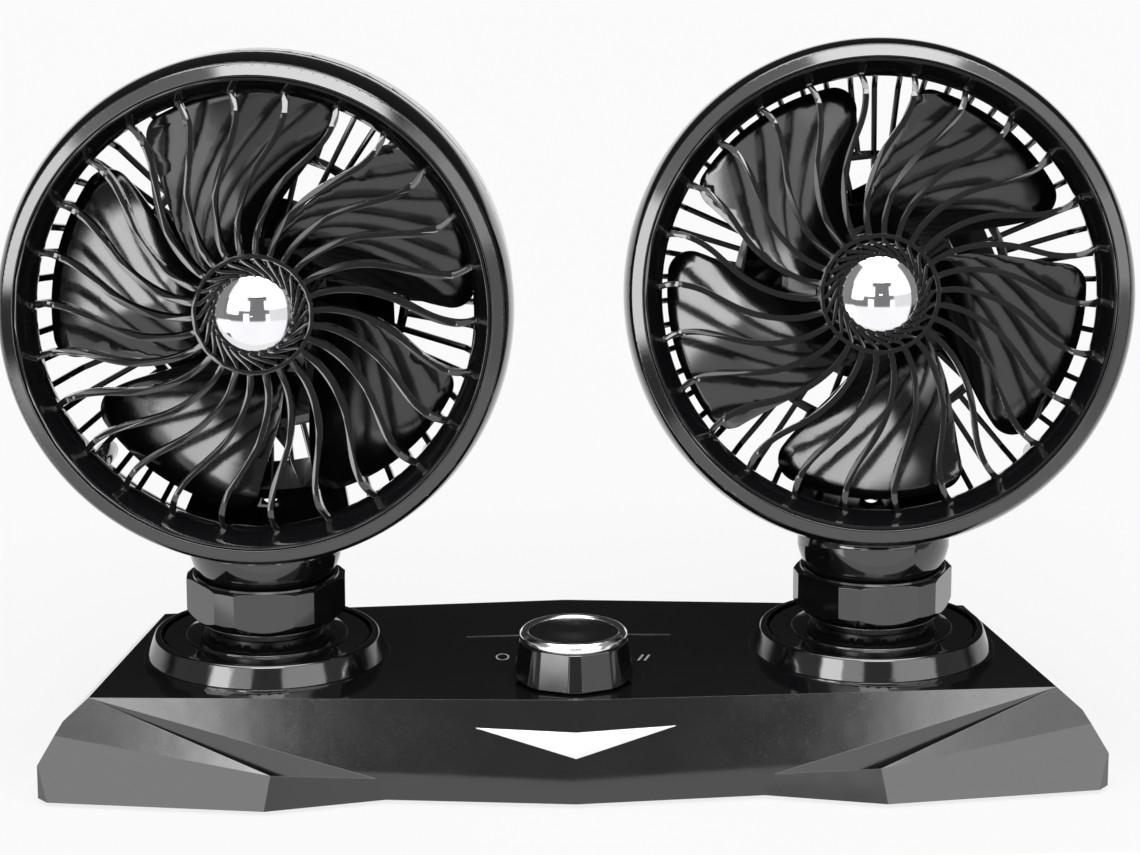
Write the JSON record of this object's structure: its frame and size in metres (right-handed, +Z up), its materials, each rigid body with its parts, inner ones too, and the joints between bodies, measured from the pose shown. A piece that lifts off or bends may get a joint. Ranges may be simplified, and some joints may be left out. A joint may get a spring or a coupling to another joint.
{
  "type": "dual head car fan",
  "caption": "Low faceted dashboard base with a rotary speed knob and round swivel fan heads, each on a ball neck with a clamp nut and an S-vaned grille.",
  "frame": {"origin": "on the standing plane under the rubber feet, below the middle of the base", "axes": "+X along the base to the viewer's right, -Y towards the front with the badge, +Z up"},
  "size_m": [0.2936, 0.0945, 0.191],
  "materials": {
    "gloss_black": "high gloss, black",
    "grille_black": "gloss, black",
    "blade_black": "satin gloss, black",
    "shell_black": "high gloss, black",
    "neck_black": "satin, black",
    "matt_black": "fine matt grain, black",
    "knob_black": "gloss, black",
    "rubber_black": "matt, soft",
    "chrome": "mirror, plated",
    "spun_dark": "spun, dark",
    "badge_silver": "bright satin",
    "steel": "plain, zinc",
    "motor_steel": "plain, drawn",
    "washer_white": "waxy, white",
    "board_green": "coated laminate"
  },
  "bodies": {
    "base": {"base_top_shell": "gloss_black", "base_bottom_plate": "matt_black", "bottom_screws": "steel", "rubber_feet": "rubber_black", "rotary_switch": "matt_black", "switch_nut": "steel", "circuit_board": "board_green", "board_screws": "steel", "front_badge": "badge_silver", "cable_grommet": "rubber_black", "left_collar_ring": "gloss_black", "left_collar_screws": "steel", "right_collar_ring": "gloss_black", "right_collar_screws": "steel"},
    "left_turntable": {"left_turntable": "gloss_black", "left_socket_post": "neck_black", "left_pivot_stud": "steel", "left_pivot_hat": "neck_black", "left_hat_clip": "steel", "left_swivel_washer": "washer_white", "left_swivel_retainer": "neck_black", "left_retainer_screws": "steel"},
    "left_nut": {"left_clamp_nut": "gloss_black"},
    "left_head": {"left_front_bezel": "gloss_black", "left_front_grille": "grille_black", "left_hub_cap": "chrome", "left_motor_can": "motor_steel", "left_rear_cage": "shell_black", "left_motor_cover": "shell_black", "left_cover_screws": "steel", "left_head_screws": "steel", "left_neck_cup": "gloss_black", "left_cup_screws": "steel"},
    "left_fan": {"left_impeller": "blade_black", "left_motor_shaft": "steel"},
    "right_turntable": {"right_turntable": "gloss_black", "right_socket_post": "neck_black", "right_pivot_stud": "steel", "right_pivot_hat": "neck_black", "right_hat_clip": "steel", "right_swivel_washer": "washer_white", "right_swivel_retainer": "neck_black", "right_retainer_screws": "steel"},
    "right_nut": {"right_clamp_nut": "gloss_black"},
    "right_head": {"right_front_bezel": "gloss_black", "right_front_grille": "grille_black", "right_hub_cap": "chrome", "right_motor_can": "motor_steel", "right_rear_cage": "shell_black", "right_motor_cover": "shell_black", "right_cover_screws": "steel", "right_head_screws": "steel", "right_neck_cup": "gloss_black", "right_cup_screws": "steel"},
    "right_fan": {"right_impeller": "blade_black", "right_motor_shaft": "steel"},
    "knob": {"knob_body": "knob_black", "knob_ring": "chrome", "knob_disc": "spun_dark", "switch_shaft": "neck_black"}
  },
  "joints": [
    {"name": "left_swivel", "type": "hinge", "parent": "base", "child": "left_turntable", "pos_m": [-0.0803, 0.0025, 0.033], "axis": [0, 0, 1], "range_deg": [-171.5, 178.5]},
    {"name": "left_nut_turn", "type": "hinge", "parent": "left_turntable", "child": "left_nut", "pos_m": [-0.0803, 0.0025, 0.044], "axis": [0, 0, 1], "range_deg": [-60, 0]},
    {"name": "left_tilt", "type": "hinge", "parent": "left_turntable", "child": "left_head", "pos_m": [-0.0803, 0.0025, 0.0603], "axis": [0.9981, -0.061, 0], "range_deg": [-9.7, 20.3]},
    {"name": "left_fan_spin", "type": "hinge", "parent": "left_head", "child": "left_fan", "pos_m": [-0.07995, 0.00828, 0.12273], "axis": [-0.0608, -0.9939, 0.0924], "continuous": true},
    {"name": "right_swivel", "type": "hinge", "parent": "base", "child": "right_turntable", "pos_m": [0.0803, 0.0025, 0.033], "axis": [0, 0, 1], "range_deg": [-171.5, 178.5]},
    {"name": "right_nut_turn", "type": "hinge", "parent": "right_turntable", "child": "right_nut", "pos_m": [0.0803, 0.0025, 0.044], "axis": [0, 0, 1], "range_deg": [-60, 0]},
    {"name": "right_tilt", "type": "hinge", "parent": "right_turntable", "child": "right_head", "pos_m": [0.0803, 0.0025, 0.0603], "axis": [0.9981, -0.061, 0], "range_deg": [-2.85, 27.15]},
    {"name": "right_fan_spin", "type": "hinge", "parent": "right_head", "child": "right_fan", "pos_m": [0.08111, 0.01567, 0.1216], "axis": [-0.0597, -0.9758, 0.2105], "continuous": true},
    {"name": "knob_turn", "type": "hinge", "parent": "base", "child": "knob", "pos_m": [0, -0.0235, 0.03], "axis": [0, 0, 1], "range_deg": [-90, 0]}
  ]
}
